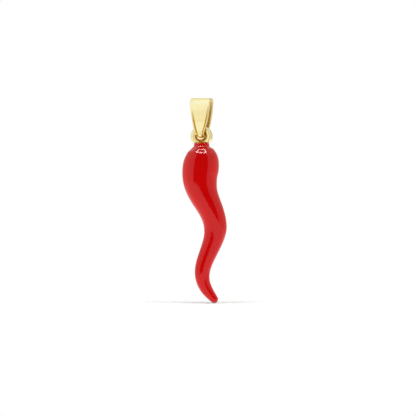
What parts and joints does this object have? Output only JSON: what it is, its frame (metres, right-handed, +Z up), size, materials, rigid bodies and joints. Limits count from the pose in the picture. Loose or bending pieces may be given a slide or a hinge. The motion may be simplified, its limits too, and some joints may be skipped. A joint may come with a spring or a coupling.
{
  "type": "horn pendant",
  "caption": "Curved horn charm, enamelled over a metal core, with a round loop that swings in a tapered folded bail.",
  "frame": {"origin": "where the chain bears, at the middle of the inside of the bail's crest", "axes": "+Z up, +X along the chain, to the side that the tip of the horn points to; the front faces -Y"},
  "size_m": [0.0067, 0.0054, 0.0307],
  "materials": {
    "gold": "polished yellow gold",
    "red_enamel": "glossy fired enamel"
  },
  "bodies": {
    "bail": {"bail": "gold"},
    "horn": {"core_and_loop": "gold", "enamel": "red_enamel"}
  },
  "joints": [
    {"name": "horn_swing", "type": "hinge", "parent": "bail", "child": "horn", "pos_m": [0, 0, -0.00405], "axis": [1, 0, 0], "range_deg": [-25, 25]}
  ]
}
